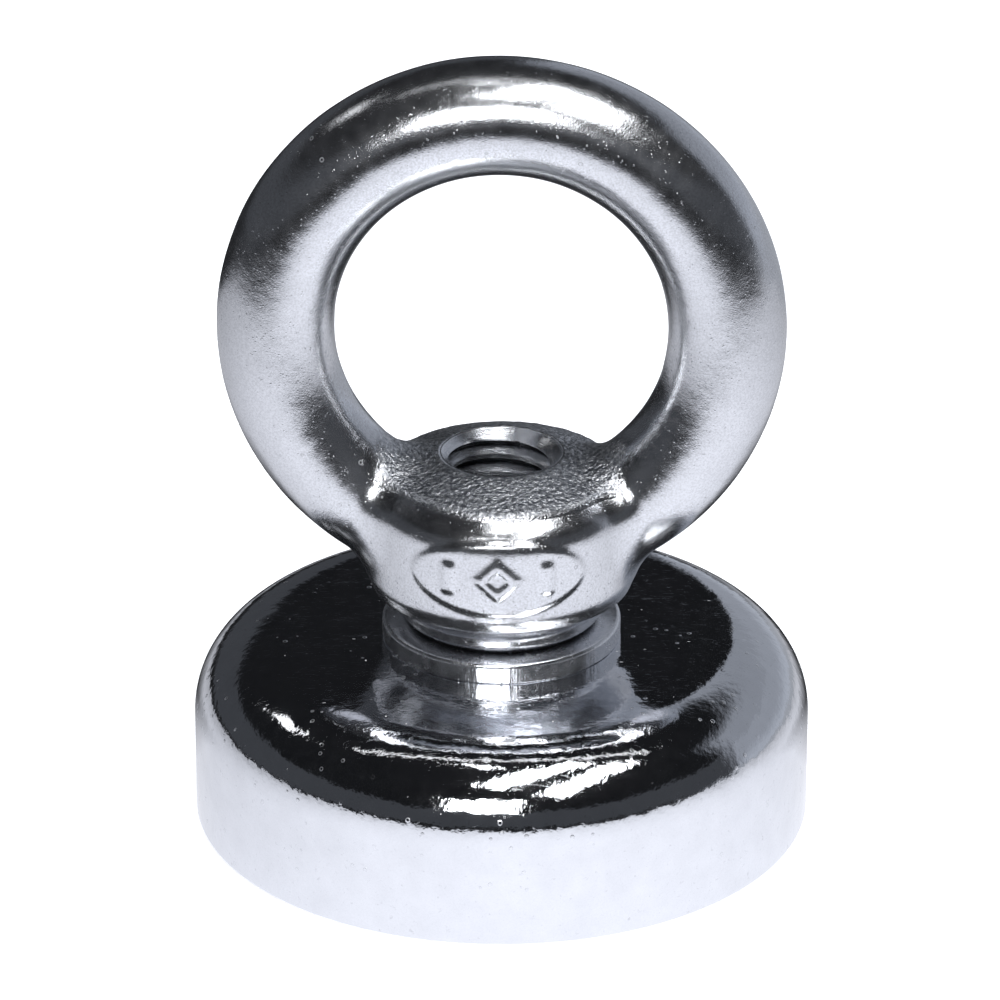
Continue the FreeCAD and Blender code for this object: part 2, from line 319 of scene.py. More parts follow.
def hub_relief(x, y, z):
    """How far the cast pad and its plain marks stand proud of the hub's wall."""
    e = np.sqrt((x / 4.4) ** 2 + ((z - 16.02) / 2.0) ** 2) + 1e-9
    g = np.sqrt((x / 4.4 ** 2) ** 2 + ((z - 16.02) / 2.0 ** 2) ** 2) / e + 1e-9
    edge = (e - 1) / g
    pad = 0.11 * smooth(-edge, -0.16, 0.18)
    lozenge = (np.abs(x) / 1.25 + np.abs(z - 16.0) / 1.15 - 1) * 0.82
    marks = smooth(-lozenge, -0.20, 0.24)
    hollow = (np.abs(x) / 0.62 + np.abs(z - 16.0) / 0.56 - 1) * 0.40
    marks = marks * (1 - 0.75 * smooth(-hollow, -0.11, 0.12))
    for sx in (-1, 1):
        bar = np.hypot(np.maximum(np.abs(x - sx * 2.55 - 0.0) - 0.12, 0), np.maximum(np.abs(z - 16.0) - 0.62, 0)) - 0.20
        marks = np.maximum(marks, smooth(-bar, -0.19, 0.20))
    return (pad + 0.115 * marks) * smooth(-y, 1.0, 2.5)


def nut_field(p):
    x, y, z = p[..., 0], p[..., 1], p[..., 2]
    rho = np.hypot(x, y)
    ring = np.hypot(np.hypot(x, z - RING_Z) - RING_R, y) - RING_W
    upper = np.maximum(wedge(rho, z, N_CROWN, C_CROWN, N_SHOULDER, C_SHOULDER, 0.30),
                       wedge(rho, z, (1.0, 0.0), R_HUB, N_SHOULDER, C_SHOULDER, 1.9))
    bevel = wedge(rho, z, (1.0, 0.0), R_HUB, N_BEVEL, C_BEVEL, 0.9)
    skirt = wedge(rho, z, N_BEVEL, C_BEVEL, N_SKIRT, C_SKIRT, 0.22)
    hub = np.maximum(np.maximum(upper, np.maximum(bevel, skirt)), 11.5 - z)
    hub = hub - hub_relief(x, y, z)
    foot = wedge(rho, z, (1.0, 0.0), 5.2, N_CHAMF, C_CHAMF, 0.10)
    foot = np.maximum(np.maximum(foot, wedge(rho, z, N_CHAMF, C_CHAMF, (0.0, -1.0), -Z_FOOT, 0.06)), z - 14.0)
    hub = round_union(hub, foot, 0.18)
    top = z - Z_RIM
    k = 0.18
    h = np.maximum(k - np.abs(hub - top), 0) / k
    hub = np.maximum(hub, top) + h * h * k * 0.25
    return round_union(hub, ring, 1.15)


def surface_nets(field, low, high, cell):
    dims = np.ceil((high - low) / cell).astype(int) + 1
    axes = [low[i] + cell * np.arange(dims[i]) for i in range(3)]
    F = np.empty(dims, np.float32)
    for s in range(0, dims[0], 24):
        X, Y, Z = np.meshgrid(axes[0][s:s + 24], axes[1], axes[2], indexing="ij")
        F[s:s + 24] = field(np.stack([X, Y, Z], -1))
    inside = F < 0
    total = np.zeros([d - 1 for d in dims] + [3], np.float32)
    count = np.zeros([d - 1 for d in dims], np.float32)
    for ax in range(3):
        o1, o2 = [i for i in range(3) if i != ax]
        for d1 in (0, 1):
            for d2 in (0, 1):
                s0 = [slice(0, dims[i] - 1) for i in range(3)]
                s0[o1] = slice(d1, dims[o1] - 1 + d1)
                s0[o2] = slice(d2, dims[o2] - 1 + d2)
                s1 = list(s0)
                s1[ax] = slice(1, dims[ax])
                a, b = F[tuple(s0)], F[tuple(s1)]
                cross = (a < 0) != (b < 0)
                t = np.where(cross, a / np.where(cross, a - b, 1), 0)
                count += cross
                total[..., ax] += np.where(cross, t, 0)
                total[..., o1] += np.where(cross, d1, 0)
                total[..., o2] += np.where(cross, d2, 0)
    cells = np.argwhere(count > 0)
    ids = np.full(count.shape, -1, np.int64)
    ids[tuple(cells.T)] = np.arange(len(cells))
    local = total[tuple(cells.T)] / count[tuple(cells.T)][:, None]
    verts = low + (cells + local) * cell
    faces = []
    for ax in range(3):
        o1, o2 = (ax + 1) % 3, (ax + 2) % 3
        s0 = [slice(1, dims[i] - 1) for i in range(3)]
        s0[ax] = slice(0, dims[ax] - 1)
        s1 = list(s0)
        s1[ax] = slice(1, dims[ax])
        a, b = inside[tuple(s0)], inside[tuple(s1)]
        hit = np.argwhere(a != b)
        base = hit.copy()
        for i in range(3):
            base[:, i] += s0[i].start
        flip = ~a[tuple(hit.T)]
        quad = []
        for d1, d2 in ((0, 0), (-1, 0), (-1, -1), (0, -1)):
            c = base.copy()
            c[:, o1] += d1
            c[:, o2] += d2
            quad.append(ids[tuple(c.T)])
        quad = np.stack(quad, 1)
        quad[flip] = quad[flip][:, ::-1]
        faces.append(quad)
    return verts, np.vstack(faces)


def gradient(field, p, h=0.01):
    g = np.empty_like(p)
    for i in range(3):
        d = np.zeros(3)
        d[i] = h
        g[:, i] = (field(p + d) - field(p - d)) / (2 * h)
    return g


def settle(field, verts, faces, rounds):
    """Moves the points onto the surface and evens their spacing along it."""
    edges = np.vstack([faces[:, [0, 1]], faces[:, [1, 2]], faces[:, [2, 3]], faces[:, [3, 0]]])
    for k in range(rounds + 1):
        if k:
            total = np.zeros_like(verts)
            count = np.zeros(len(verts))
            for a, b in ((0, 1), (1, 0)):
                for i in range(3):
                    total[:, i] += np.bincount(edges[:, a], verts[edges[:, b], i], len(verts))
                count += np.bincount(edges[:, a], minlength=len(verts))
            verts = verts * 0.4 + 0.6 * total / count[:, None]
        for _ in range(2):
            g = gradient(field, verts)
            verts = verts - g * (field(verts) / np.maximum((g * g).sum(1), 0.25))[:, None]
    return verts, g / np.linalg.norm(g, axis=1, keepdims=True)


def make_eye_nut():
    cell = 0.163
    low = np.array([-RING_R - RING_W - 0.5, -R_HUB - 0.8, Z_FOOT - 0.5])
    high = np.array([RING_R + RING_W + 0.5, R_HUB + 0.8, RING_Z + RING_R + RING_W + 0.5])
    verts, faces = surface_nets(nut_field, low, high, cell)
    verts, normals = settle(nut_field, verts, faces, 3)
    x, y, z = verts.T
    rho = np.hypot(x, y)
    # as-cast unevenness: broad, then grain, strongest on the crown and the arms' roots; the foot is faced flat
    crown = smooth(z, 18.9, 19.3) * smooth(-z, -21.6, -20.6) * smooth(-rho, -6.8, -6.0)
    roots = smooth(-np.abs(z - 20.5), -3.5, -1.0) * smooth(np.abs(x), 4.5, 6.5)
    foot = smooth(z, Z_FOOT + 0.05, Z_FOOT + 0.4)
    bump = 0.012 * noise3(verts, 2.6, 3) + 0.002 * noise3(verts, 0.9, 5)
    bump += (0.0008 + 0.016 * crown + 0.005 * roots) * noise3(verts, 0.40, 9)
    # what is left of the parting line where the two halves of the mould met
    q = np.hypot(x, z - RING_Z) - RING_R
    seam = np.exp(-(y / 0.16) ** 2) * smooth(z, 19.5, 22.0)
    seam = seam * np.clip(0.35 + 0.9 * noise3(verts, 1.7, 21), 0, 1) * np.where(q < 0, 1.0, 0.55)
    bump += 0.036 * seam
    verts = verts + normals * ((bump - 0.5 * 0.02) * foot)[:, None]
    limit = RING_R + RING_W
    out = np.hypot(verts[:, 0], verts[:, 2] - RING_Z)
    over = (out > limit) & (verts[:, 2] > RING_Z - 6)
    verts[over, 0] *= limit / out[over]
    verts[over, 2] = RING_Z + (verts[over, 2] - RING_Z) * limit / out[over]
    verts[:, 2] = np.maximum(verts[:, 2], Z_FOOT)
    body = mesh_object("eye_nut_cast", verts, faces)

    r_min, r_maj, mouth = 2.5, 3.06, 3.15
    knots = np.unique(np.concatenate([np.linspace(0, 0.07, 2), np.linspace(0.07, 0.39, 4), np.linspace(0.39, 0.61, 3),
                                      np.linspace(0.61, 0.93, 4), [0.93]]))
    knots = knots[knots < 0.999]

    def radius(phase, a, z):
        # the nut's groove is where the screw's ridge runs
        groove = r_maj - np.maximum(ridge(phase) * PITCH - 0.0625, 0) / TAN30
        r = np.clip(groove, r_min, r_maj)
        r = np.minimum(r, r_maj)
        r = np.maximum(r, mouth - 0.05 - (Z_RIM - z) * 1.0)
        return np.maximum(r, r_maj + 0.1 - (z - Z_FOOT))

    cutter = thread_solid("tap", radius, knots, Z_FOOT - 0.4, Z_RIM + 0.6, 120)
    mod = body.modifiers.new("tap", "BOOLEAN")
    mod.operation = "DIFFERENCE"
    mod.object = cutter
    try:
        mod.solver = "MANIFOLD"
    except TypeError:
        mod.solver = "EXACT"
    dep = bpy.context.evaluated_depsgraph_get()
    cut = bpy.data.meshes.new_from_object(body.evaluated_get(dep))
    body.modifiers.clear()
    old = body.data
    body.data = cut
    cut.name = "eye_nut_cast"
    bpy.data.meshes.remove(old)
    bpy.data.objects.remove(cutter, do_unlink=True)
    cut.polygons.foreach_set("use_smooth", np.ones(len(cut.polygons), bool))
    cut.update()
    sharpen(body, 28, lambda e: all(math.hypot(v.co.x, v.co.y) < 3.6 * MM for v in e.verts))
    return body


# ---------------------------------------------------------------- turned, pressed and punched pieces
def make_cup():
    section = rounded_section([
        (R_CAV, 0.0, 0.10), (R_CUP, 0.0, 0.30), (R_CUP, H_CUP, 4.2), (3.2, H_CUP, 0.2), (3.2, 8.62, 0.05),
        (6.22, Z_FLOOR, 0.05), (R_CAV, Z_FLOOR, 0.2)], step=2.4)
    return lathe("pot_cup_turned", section, 360)


def make_washer():
    section = rounded_section([
        (3.2, Z_WAS0, 0.05), (R_WAS, Z_WAS0, 0.07), (R_WAS, Z_WAS1, 0.24), (3.2, Z_WAS1, 0.16)], step=7.5, long_step=0.16)

    def shape(r, z, a):
        # the punched edge: a smooth band above, torn grooves below
        side = smooth(r, R_WAS - 0.12, R_WAS - 0.02)
        p = np.stack([np.cos(a) * 40, np.sin(a) * 40, z * 0.35], -1)
        torn = smooth(-(z - Z_WAS0), -0.80, -0.50)
        grooves = noise3(p, 0.9, 31) * 0.6 + noise3(p, 0.42, 33) * 0.4
        line = 0.02 * noise3(np.stack([np.cos(a) * 6, np.sin(a) * 6, z * 0], -1), 1.0, 35)
        r = r - side * (0.014 + 0.020 * torn * (0.55 + 0.45 * grooves) + 0.010 * (1 - torn) * (1 + grooves) * 0.5) + side * line * 0.4
        r = np.minimum(r, R_WAS)
        low = smooth(-(z - Z_WAS0), -0.10, -0.03) * smooth(r, R_WAS - 0.5, R_WAS - 0.1)
        return r, z + low * 0.012 * (1 + noise3(p, 1.4, 37))

    return lathe("washer_punched", section, 900, shape)


def make_magnet():
    section = rounded_section([
        (6.3, Z_MAG0, 0.28), (R_MAG, Z_MAG0, 0.28), (R_MAG, Z_MAG1, 0.28), (6.3, Z_MAG1, 0.28)], step=9)
    return lathe("magnet_plated", section, 256)


def make_potting():
    lo = pot_lo[2]
    section = rounded_section([
        (R_MAG + 0.02, lo, 0.0), (R_MAG + 0.18, lo + 0.10, 0.10), (R_CAV - 0.18, lo + 0.10, 0.10), (R_CAV - 0.02, lo, 0.0),
        (R_CAV - 0.02, Z_FLOOR, 0.0), (R_MAG + 0.02, Z_FLOOR, 0.0)], step=12, long_step=0.2)

    def shape(r, z, a):
        p = np.stack([r * np.cos(a), r * np.sin(a), z], -1)
        face = smooth(-z, -(lo + 0.3), -(lo + 0.15))
        return r, z + face * (0.05 + 0.045 * noise3(p, 1.1, 41) + 0.03 * noise3(p, 3.7, 43))

    return lathe("potting_cured", section, 320, shape)


def make_screw():
    seg = 144
    r_maj, r_root = 2.92, 2.36
    z_shank = Z_HEAD + 0.25 + (R_HEAD - r_maj)

    def radius(phase, a, z):
        r = r_maj - np.maximum(ridge(phase) * PITCH - 0.0625, 0) / TAN30
        r = np.clip(r, r_root, r_maj)
        start = smooth(z, 10.0, 10.6)
        r = r_maj - (r_maj - r) * start
        r = np.minimum(r, r_maj - 0.8 + (Z_TIP - z))
        head = R_HEAD - np.maximum(z - Z_HEAD - 0.25, 0)
        return np.maximum(r, np.minimum(head, R_HEAD - np.maximum(0.10 - (z - Z_HEAD), 0)))

    knots = np.unique(np.round(np.concatenate([[0, 0.0625], np.linspace(0.0625, 0.386, 5), np.linspace(0.386, 0.614, 4),
                                               np.linspace(0.614, 0.9375, 5)]), 5))
    knots = knots[knots < 0.999]
    ob = thread_solid("screw_rolled", radius, knots, Z_HEAD, Z_TIP, seg)
    # the hexagon socket, with a drill-point floor and a broken edge
    af = 2.0 / math.cos(math.pi / 6)
    levels = [(af + 0.35, -0.3), (af + 0.15, 0.0), (af, 0.12), (af, 2.05), (af * 0.62, 2.25), (0.0, 2.55)]
    verts, faces = [], []
    for r, dz in levels[:-1]:
        for i in range(6):
            t = math.radians(60 * i)
            verts.append((r * math.cos(t), r * math.sin(t), Z_HEAD + dz))
    verts.append((0, 0, Z_HEAD + levels[-1][1]))
    n = len(levels) - 1
    for k in range(n - 1):
        for i in range(6):
            j = (i + 1) % 6
            faces.append((k * 6 + i, k * 6 + j, (k + 1) * 6 + j, (k + 1) * 6 + i))
    for i in range(6):
        faces.append(((n - 1) * 6 + i, (n - 1) * 6 + (i + 1) % 6, n * 6))
    faces.append(tuple(range(5, -1, -1)))
    hexa = mesh_object("hex", verts, faces)
    mod = ob.modifiers.new("hex", "BOOLEAN")
    mod.operation = "DIFFERENCE"
    mod.object = hexa
    try:
        mod.solver = "MANIFOLD"
    except TypeError:
        mod.solver = "EXACT"
    dep = bpy.context.evaluated_depsgraph_get()
    cut = bpy.data.meshes.new_from_object(ob.evaluated_get(dep))
    ob.modifiers.clear()
    old = ob.data
    ob.data = cut
    bpy.data.meshes.remove(old)
    bpy.data.objects.remove(hexa, do_unlink=True)
    cut.polygons.foreach_set("use_smooth", np.ones(len(cut.polygons), bool))
    cut.update()
    sharpen(ob, 24)
    return ob


# ---------------------------------------------------------------- materials
class Nodes:
    def __init__(self, name):
        self.mat = bpy.data.materials.new(name)
        self.mat.use_nodes = True
        self.t = self.mat.node_tree
        self.t.nodes.clear()
        self.out = self.t.nodes.new("ShaderNodeOutputMaterial")
        self.bsdf = self.t.nodes.new("ShaderNodeBsdfPrincipled")
        self.t.links.new(self.bsdf.outputs[0], self.out.inputs["Surface"])
        self.coord = self.t.nodes.new("ShaderNodeTexCoord").outputs["Object"]

    def link(self, a, b):
        self.t.links.new(a, b)

    def new(self, kind, **props):
        n = self.t.nodes.new(kind)
        for k, v in props.items():
            setattr(n, k, v)
        return n

    def mapped(self, scale=(1, 1, 1), vector=None):
        n = self.new("ShaderNodeMapping")
        n.inputs["Scale"].default_value = scale
        self.link(vector or self.coord, n.inputs["Vector"])
        return n.outputs[0]

    def noise(self, size_mm, detail=2.0, rough=0.5, vector=None, distortion=0.0):
        n = self.new("ShaderNodeTexNoise")
        n.inputs["Scale"].default_value = 1.0 / (size_mm * MM)
        n.inputs["Detail"].default_value = detail
        n.inputs["Roughness"].default_value = rough
        n.inputs["Distortion"].default_value = distortion
        self.link(vector or self.coord, n.inputs["Vector"])
        return n.outputs["Fac"]

    def voronoi(self, size_mm, feature="F1", output="Distance", vector=None, randomness=1.0):
        n = self.new("ShaderNodeTexVoronoi", feature=feature)
        n.inputs["Scale"].default_value = 1.0 / (size_mm * MM)
        n.inputs["Randomness"].default_value = randomness
        self.link(vector or self.coord, n.inputs["Vector"])
        return n.outputs[output]

    def math(self, op, a, b=None, clamp=False):
        n = self.new("ShaderNodeMath", operation=op, use_clamp=clamp)
        for i, v in enumerate((a, b)):
            if v is None:
                continue
            if isinstance(v, (int, float)):
                n.inputs[i].default_value = v
            else:
                self.link(v, n.inputs[i])
        return n.outputs[0]

    def ramp(self, value, *stops):
        n = self.new("ShaderNodeValToRGB")
        el = n.color_ramp.elements
        while len(el) < len(stops):
            el.new(0.5)
        for e, (pos, col) in zip(el, stops):
            e.position = pos
            e.color = (*col, 1) if not isinstance(col, (int, float)) else (col, col, col, 1)
        self.link(value, n.inputs[0])
        return n.outputs[0]

    def remap(self, value, a, b, c, d_):
        n = self.new("ShaderNodeMapRange", clamp=True)
        for k, v in zip(("From Min", "From Max", "To Min", "To Max"), (a, b, c, d_)):
            n.inputs[k].default_value = v
        self.link(value, n.inputs["Value"])
        return n.outputs[0]

    def mix(self, fac, a, b):
        n = self.new("ShaderNodeMix", data_type="RGBA")
        for key, v in ((0, fac), (6, a), (7, b)):
            if isinstance(v, tuple):
                n.inputs[key].default_value = (*v, 1)
            elif isinstance(v, (int, float)):
                n.inputs[key].default_value = v
            else:
                self.link(v, n.inputs[key])
        return n.outputs[2]

    def bump(self, height, distance_mm, normal=None, strength=1.0):
        n = self.new("ShaderNodeBump")
        n.inputs["Strength"].default_value = strength
        n.inputs["Distance"].default_value = distance_mm * MM
        self.link(height, n.inputs["Height"])
        if normal is not None:
            self.link(normal, n.inputs["Normal"])
        return n.outputs[0]

    def xyz(self):
        n = self.new("ShaderNodeSeparateXYZ")
        self.link(self.coord, n.inputs[0])
        return n.outputs

    def finish(self, color, rough, normal, metallic=1.0, specular=0.5):
        b = self.bsdf
        b.inputs["Metallic"].default_value = metallic
        b.inputs["Specular IOR Level"].default_value = specular
        self.link(color, b.inputs["Base Color"])
        self.link(rough, b.inputs["Roughness"])
        if normal is not None:
            self.link(normal, b.inputs["Normal"])
        return self.mat


def nickel(name, tint=(0.76, 0.775, 0.81), peel=1.0, grain=1.0, rough=(0.05, 0.13), blisters=0.0, cast=False, lay=None,
           dust=0.0):
    """Bright plating: a gently uneven mirror with fine grain, a few blisters and hairline scratches."""
    m = Nodes(name)
    normal = m.bump(m.noise(3.2, 3.0, 0.55), 0.045 * peel)
    normal = m.bump(m.noise(0.62, 2.0, 0.5), 0.016 * peel * peel, normal)
    normal = m.bump(m.noise(0.21, 2.0, 0.55), 0.0042 * peel, normal)
    normal = m.bump(m.noise(0.085, 2.0, 0.6), 0.0036 * grain, normal)
    # pinpoints where the plating is broken: tiny, steep and sparse
    pin = m.remap(m.voronoi(0.17), 0.10, 0.30, 1.0, 0.0)
    pick = m.remap(m.noise(0.30, 1.0), 0.50, 0.62, 0.0, 1.0)
    normal = m.bump(m.math("MULTIPLY", pin, pick), 0.0050 * grain, normal)
    if blisters:
        # small blisters of the plating, each a low crater
        cell = m.new("ShaderNodeTexVoronoi", feature="F1")
        cell.inputs["Scale"].default_value = 1.0 / (0.58 * MM)
        m.link(m.coord, cell.inputs["Vector"])
        sep = m.new("ShaderNodeSeparateColor")
        m.link(cell.outputs["Color"], sep.inputs[0])
        chosen = m.remap(sep.outputs[0], 0.60, 0.63, 0.0, 1.0)
        region = m.remap(m.noise(3.4, 1.0, 0.5), 0.50, 0.58, 0.0, 1.0)
        where = m.math("MULTIPLY", chosen, region)
        if cast:
            where = m.math("MULTIPLY", where, m.remap(sep.outputs[1], 0.86, 0.90, 0.0, 1.0))
        dome = m.math("MULTIPLY", m.remap(cell.outputs["Distance"], 0.14, 0.25, 1.0, 0.0), where)
        normal = m.bump(dome, 0.010 * blisters, normal)
        rim = m.math("MULTIPLY", m.remap(cell.outputs["Distance"], 0.11, 0.15, 0.0, 1.0), m.remap(cell.outputs["Distance"], 0.20, 0.24, 1.0, 0.0))
        rim = m.math("MULTIPLY", rim, where)
    hair = m.new("ShaderNodeTexNoise")
    hair.inputs["Scale"].default_value = 1.0 / (0.9 * MM)
    hair.inputs["Detail"].default_value = 4
    m.link(m.mapped((1, 14, 1), None), hair.inputs["Vector"])
    line = m.remap(hair.outputs["Fac"], 0.66, 0.70, 0.0, 1.0)
    normal = m.bump(line, 0.0008, normal)
    if lay is not None:
        normal = lay(m, normal)
    shade = m.noise(1.7, 4.0, 0.6)
    col = m.mix(m.remap(shade, 0.3, 0.7, 0.0, 1.0), tuple(c * 0.93 for c in tint), tint)
    spots = m.remap(m.noise(0.32, 3.0, 0.6), 0.64, 0.74, 0.0, 1.0)
    col = m.mix(m.math("MULTIPLY", spots, 0.35), col, tuple(c * 0.55 for c in tint))
    freckle = m.remap(m.noise(0.11, 2.0, 0.6), 0.40, 0.64, 0.0, 1.0)
    col = m.mix(m.math("MULTIPLY", freckle, 0.17 * grain), col, tuple(min(1.0, c * 0.50) for c in tint))
    r = m.remap(m.noise(0.8, 3.0, 0.6), 0.3, 0.7, rough[0], rough[1])
    if blisters:
        r = m.math("ADD", r, m.math("MULTIPLY", rim, 0.34))
    if cast:
        # the crown is left as cast: rougher, with a grain that scatters light
        x, y, z = m.xyz()
        rho = m.math("SQRT", m.math("ADD", m.math("MULTIPLY", x, x), m.math("MULTIPLY", y, y)))
        mask = m.math("MULTIPLY", m.remap(z, 18.85 * MM, 19.15 * MM, 0.0, 1.0), m.remap(rho, 6.1 * MM, 6.9 * MM, 1.0, 0.0))
        mask = m.math("MULTIPLY", mask, m.remap(rho, 3.15 * MM, 3.25 * MM, 0.0, 1.0))
        mask = m.math("MULTIPLY", mask, m.remap(z, 20.4 * MM, 21.6 * MM, 1.0, 0.0))
        for size, depth in ((0.23, 0.120), (0.12, 0.030)):
            g1 = m.new("ShaderNodeBump")
            g1.inputs["Distance"].default_value = depth * MM
            m.link(m.math("MULTIPLY", m.noise(size, 2.0, 0.6), mask), g1.inputs["Height"])
            m.link(normal, g1.inputs["Normal"])
            normal = g1.outputs[0]
        r = m.math("ADD", r, m.math("MULTIPLY", mask, 0.12))
        grit = m.math("MULTIPLY", m.remap(m.noise(0.21, 2.0, 0.6), 0.42, 0.62, 0.75, 0.0), mask)
        col = m.mix(grit, col, (0.16, 0.175, 0.20))
        # the tapped hole and the foot are cut: fine lines run round them, and the thread's roots are darkened with
        # painted shade
        bore = m.math("MULTIPLY", m.remap(rho, 3.12 * MM, 3.22 * MM, 1.0, 0.0), m.remap(z, 20.2 * MM, 20.4 * MM, 1.0, 0.0))
        turn = m.math("MULTIPLY", m.remap(z, 13.35 * MM, 13.65 * MM, 1.0, 0.0), m.remap(z, 10.92 * MM, 10.98 * MM, 0.0, 1.0))
        lines = m.new("ShaderNodeCombineXYZ")
        m.link(z, lines.inputs[0])
        m.link(rho, lines.inputs[1])
        for where, size, depth in ((turn, 0.11, 0.012), (bore, 0.05, 0.016)):
            tn = m.new("ShaderNodeBump")
            tn.inputs["Distance"].default_value = depth * MM
            m.link(m.math("MULTIPLY", m.noise(size, 2.0, 0.5, vector=lines.outputs[0]), where), tn.inputs["Height"])
            m.link(normal, tn.inputs["Normal"])
            normal = tn.outputs[0]
        # painted shade: the deep roots of the thread are darkened as if in shadow
        thread_root_shade = m.math("MULTIPLY", m.remap(rho, 2.88 * MM, 3.02 * MM, 0.0, 1.0), m.remap(z, 19.40 * MM, 19.50 * MM, 1.0, 0.0))
        thread_root_shade = m.math("MULTIPLY", thread_root_shade, bore)
        col = m.mix(m.math("MULTIPLY", thread_root_shade, 0.90), col, (0.03, 0.033, 0.04))
        # painted shade: the lowest part of the foot is darkened where it sits on the washer
        foot_contact_shade = m.math("MULTIPLY", m.remap(z, 11.02 * MM, 11.22 * MM, 1.0, 0.0), 0.9)
        col = m.mix(foot_contact_shade, col, (0.03, 0.033, 0.04))
    mat = m.finish(col, r, normal)
    if dust:
        # specks of dust: dull and white
        speck = m.remap(m.voronoi(0.95), 0.040, 0.052, 1.0, 0.0)
        few = m.remap(m.noise(2.3, 1.0), 0.52, 0.57, 0.0, 1.0)
        fibre = m.remap(m.voronoi(2.6, vector=m.mapped((1.0, 5.0, 1.0))), 0.030, 0.036, 1.0, 0.0)
        mask = m.math("MAXIMUM", m.math("MULTIPLY", speck, few), m.math("MULTIPLY", fibre, 0.9))
        x, y, z = m.xyz()
        mask = m.math("MULTIPLY", mask, m.remap(z, 9.74 * MM, 9.79 * MM, 0.0, 1.0))
        mask = m.math("MULTIPLY", mask, dust, clamp=True)
        m.link(m.mix(mask, col, (0.85, 0.86, 0.88)), m.bsdf.inputs["Base Color"])
        m.link(m.remap(mask, 0.0, 1.0, 1.0, 0.0), m.bsdf.inputs["Metallic"])
        m.link(m.math("ADD", r, m.math("MULTIPLY", mask, 0.6)), m.bsdf.inputs["Roughness"])
    return mat


def turned(m, normal):
    """Fine rings left by the lathe."""
    x, y, z = m.xyz()
    rho = m.math("SQRT", m.math("ADD", m.math("MULTIPLY", x, x), m.math("MULTIPLY", y, y)))
    comb = m.new("ShaderNodeCombineXYZ")
    m.link(rho, comb.inputs[0])
    m.link(z, comb.inputs[1])
    rings = m.noise(0.10, 2.0, 0.6, vector=comb.outputs[0])
    return m.bump(rings, 0.0007, normal)


def resin(name, dark=(0.018, 0.018, 0.020), light=(0.045, 0.044, 0.046)):
    m = Nodes(name)
    n1 = m.noise(0.7, 4.0, 0.6)
    bubbles = m.remap(m.voronoi(0.6, "F1"), 0.10, 0.20, 1.0, 0.0)
    col = m.mix(n1, dark, light)
    normal = m.bump(m.noise(0.25, 3.0, 0.6), 0.02)
    normal = m.bump(bubbles, -0.03, normal)
    r = m.remap(m.noise(0.5, 2.0), 0.3, 0.7, 0.32, 0.55)
    return m.finish(col, r, normal, metallic=0.0)


def zinc(name):
    m = Nodes(name)
    spangle = m.voronoi(0.35, "F1", "Color")
    sep = m.new("ShaderNodeSeparateColor")
    m.link(spangle, sep.inputs[0])
    col = m.mix(sep.outputs[0], (0.56, 0.585, 0.63), (0.68, 0.70, 0.73))
    col = m.mix(m.remap(m.noise(1.4, 4.0, 0.6), 0.45, 0.75, 0.0, 0.5), col, (0.60, 0.59, 0.50))
    normal = m.bump(m.noise(0.18, 3.0, 0.6), 0.006)
    normal = m.bump(m.noise(0.9, 2.0), 0.02, normal)
    r = m.remap(m.noise(0.45, 3.0, 0.6), 0.3, 0.7, 0.20, 0.36)
    return m.finish(col, r, normal)


M_CUP = nickel("cup_nickel_plate", peel=1.0, grain=0.25, rough=(0.04, 0.09), blisters=1.0, lay=turned, dust=1.0)
M_EYE = nickel("eye_nickel_plate", peel=0.75, grain=1.6, rough=(0.16, 0.23), blisters=0.2, cast=True)
M_WASHER = nickel("washer_nickel_plate", peel=0.8, grain=1.3, rough=(0.19, 0.29))
M_MAGNET = nickel("magnet_nickel_plate", tint=(0.70, 0.69, 0.67), peel=0.6, grain=2.0, rough=(0.16, 0.28))
M_POTTING = resin("potting_resin")
M_GLUE = resin("glue_resin", (0.10, 0.095, 0.08), (0.16, 0.15, 0.13))
M_ZINC = zinc("screw_zinc_plate")


# ---------------------------------------------------------------- build and place the pieces
def place(ob, material, body, node):
    ob.data.materials.clear()
    ob.data.materials.append(material)
    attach(ob, body)
    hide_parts(node)


place(make_eye_nut(), M_EYE, "eye", "eye_nut")
place(make_cup(), M_CUP, "magnet_base", "pot_cup")
place(make_washer(), M_WASHER, "washer", "plain_washer")
place(make_magnet(), M_MAGNET, "magnet_base", "ring_magnet")
place(make_potting(), M_POTTING, "magnet_base", "potting_ring")
place(make_screw(), M_ZINC, "magnet_base", "countersunk_screw")
glue = frame["nodes"]["magnet_glue_film"]
glue.data.materials.clear()
glue.data.materials.append(M_GLUE)


